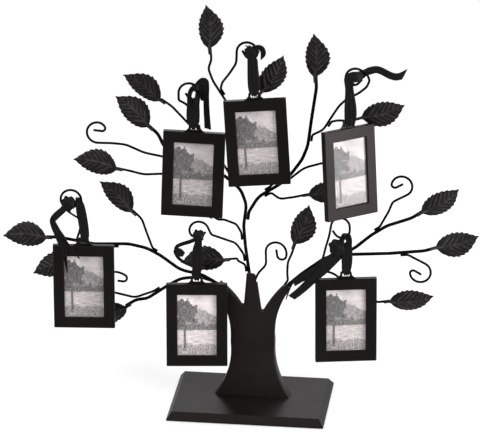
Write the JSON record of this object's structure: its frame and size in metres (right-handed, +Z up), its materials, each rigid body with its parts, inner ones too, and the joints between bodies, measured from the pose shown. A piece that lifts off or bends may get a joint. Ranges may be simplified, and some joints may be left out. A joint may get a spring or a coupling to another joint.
{
  "type": "photo tree stand",
  "caption": "Free-standing black family tree: a pressed metal trunk on a bevelled plinth, bent wire branches, stamped leaves, and scroll hooks with ribbon-hung picture frames.",
  "frame": {"origin": "centre of the felt underside of the plinth, on the surface the stand rests on", "axes": "+X to the right along the plinth's long side, +Y to the back, +Z up the trunk"},
  "size_m": [0.519, 0.1236, 0.4611],
  "materials": {
    "black_powder_coat": "satin",
    "black_plinth": "satin paint",
    "black_felt": "matt",
    "zinc_steel": "zinc plated",
    "black_ribbon": "satin weave",
    "black_frame": "satin",
    "clear_glass": "clear",
    "photo_print": "print",
    "hardboard": "matt"
  },
  "bodies": {
    "tree": {"plinth": "black_plinth", "felt_underside": "black_felt", "trunk": "black_powder_coat", "trunk_screws": "zinc_steel", "trunk_nuts": "zinc_steel", "branch_centre": "black_powder_coat", "branch_upper_right": "black_powder_coat", "branch_left_upper": "black_powder_coat", "branch_left_lower": "black_powder_coat", "branch_right_upper": "black_powder_coat", "branch_right_lower": "black_powder_coat", "branch_top": "black_powder_coat", "leaf_twigs_left": "black_powder_coat", "leaf_twigs_centre": "black_powder_coat", "leaf_twigs_right": "black_powder_coat", "scroll_twigs_left": "black_powder_coat", "scroll_twigs_right": "black_powder_coat", "leaves_left": "black_powder_coat", "leaves_upper_left": "black_powder_coat", "leaves_centre": "black_powder_coat", "leaves_top": "black_powder_coat", "leaves_right": "black_powder_coat", "hook_left": "black_powder_coat", "hook_lower_left": "black_powder_coat", "hook_upper_left": "black_powder_coat", "hook_top": "black_powder_coat", "hook_upper_right": "black_powder_coat", "hook_lower_right": "black_powder_coat"},
    "ribbon_left": {"ribbon_left": "black_ribbon"},
    "picture_left": {"frame_left": "black_frame", "glass_left": "clear_glass", "print_left": "photo_print", "backboard_left": "hardboard"},
    "ribbon_lower_left": {"ribbon_lower_left": "black_ribbon"},
    "picture_lower_left": {"frame_lower_left": "black_frame", "glass_lower_left": "clear_glass", "print_lower_left": "photo_print", "backboard_lower_left": "hardboard"},
    "ribbon_upper_left": {"ribbon_upper_left": "black_ribbon"},
    "picture_upper_left": {"frame_upper_left": "black_frame", "glass_upper_left": "clear_glass", "print_upper_left": "photo_print", "backboard_upper_left": "hardboard"},
    "ribbon_top": {"ribbon_top": "black_ribbon"},
    "picture_top": {"frame_top": "black_frame", "glass_top": "clear_glass", "print_top": "photo_print", "backboard_top": "hardboard"},
    "ribbon_upper_right": {"ribbon_upper_right": "black_ribbon"},
    "picture_upper_right": {"frame_upper_right": "black_frame", "glass_upper_right": "clear_glass", "print_upper_right": "photo_print", "backboard_upper_right": "hardboard"},
    "ribbon_lower_right": {"ribbon_lower_right": "black_ribbon"},
    "picture_lower_right": {"frame_lower_right": "black_frame", "glass_lower_right": "clear_glass", "print_lower_right": "photo_print", "backboard_lower_right": "hardboard"}
  },
  "joints": [
    {"name": "swing_left", "type": "hinge", "parent": "tree", "child": "ribbon_left", "pos_m": [-0.19112, -0.026, 0.23292], "axis": [-1, 0, 0], "range_deg": [-3, 30]},
    {"name": "turn_left", "type": "hinge", "parent": "ribbon_left", "child": "picture_left", "pos_m": [-0.1795, -0.026, 0.196], "axis": [0, 0, 1], "range_deg": [-27, 3]},
    {"name": "swing_lower_left", "type": "hinge", "parent": "tree", "child": "ribbon_lower_left", "pos_m": [-0.05562, -0.026, 0.20479], "axis": [-1, 0, 0], "range_deg": [-3, 30]},
    {"name": "turn_lower_left", "type": "hinge", "parent": "ribbon_lower_left", "child": "picture_lower_left", "pos_m": [-0.056, -0.026, 0.157], "axis": [0, 0, 1], "range_deg": [-29, 15]},
    {"name": "swing_upper_left", "type": "hinge", "parent": "tree", "child": "ribbon_upper_left", "pos_m": [-0.059, -0.022, 0.361], "axis": [-1, 0, 0], "range_deg": [-3, 30]},
    {"name": "turn_upper_left", "type": "hinge", "parent": "ribbon_upper_left", "child": "picture_upper_left", "pos_m": [-0.058, -0.022, 0.331], "axis": [0, 0, 1], "range_deg": [-25, 19]},
    {"name": "swing_top", "type": "hinge", "parent": "tree", "child": "ribbon_top", "pos_m": [0.00349, -0.032, 0.41358], "axis": [-1, 0, 0], "range_deg": [-3, 30]},
    {"name": "turn_top", "type": "hinge", "parent": "ribbon_top", "child": "picture_top", "pos_m": [0.007, -0.032, 0.374], "axis": [0, 0, 1], "range_deg": [-28, 16]},
    {"name": "swing_upper_right", "type": "hinge", "parent": "tree", "child": "ribbon_upper_right", "pos_m": [0.1112, -0.026, 0.38661], "axis": [-1, 0, 0], "range_deg": [-2, 30]},
    {"name": "turn_upper_right", "type": "hinge", "parent": "ribbon_upper_right", "child": "picture_upper_right", "pos_m": [0.106, -0.026, 0.34464], "axis": [0, 0, 1], "range_deg": [-42, 2]},
    {"name": "swing_lower_right", "type": "hinge", "parent": "tree", "child": "ribbon_lower_right", "pos_m": [0.10095, -0.026, 0.21233], "axis": [-1, 0, 0], "range_deg": [-3, 30]},
    {"name": "turn_lower_right", "type": "hinge", "parent": "ribbon_lower_right", "child": "picture_lower_right", "pos_m": [0.106, -0.026, 0.1715], "axis": [0, 0, 1], "range_deg": [-32, 12]}
  ]
}
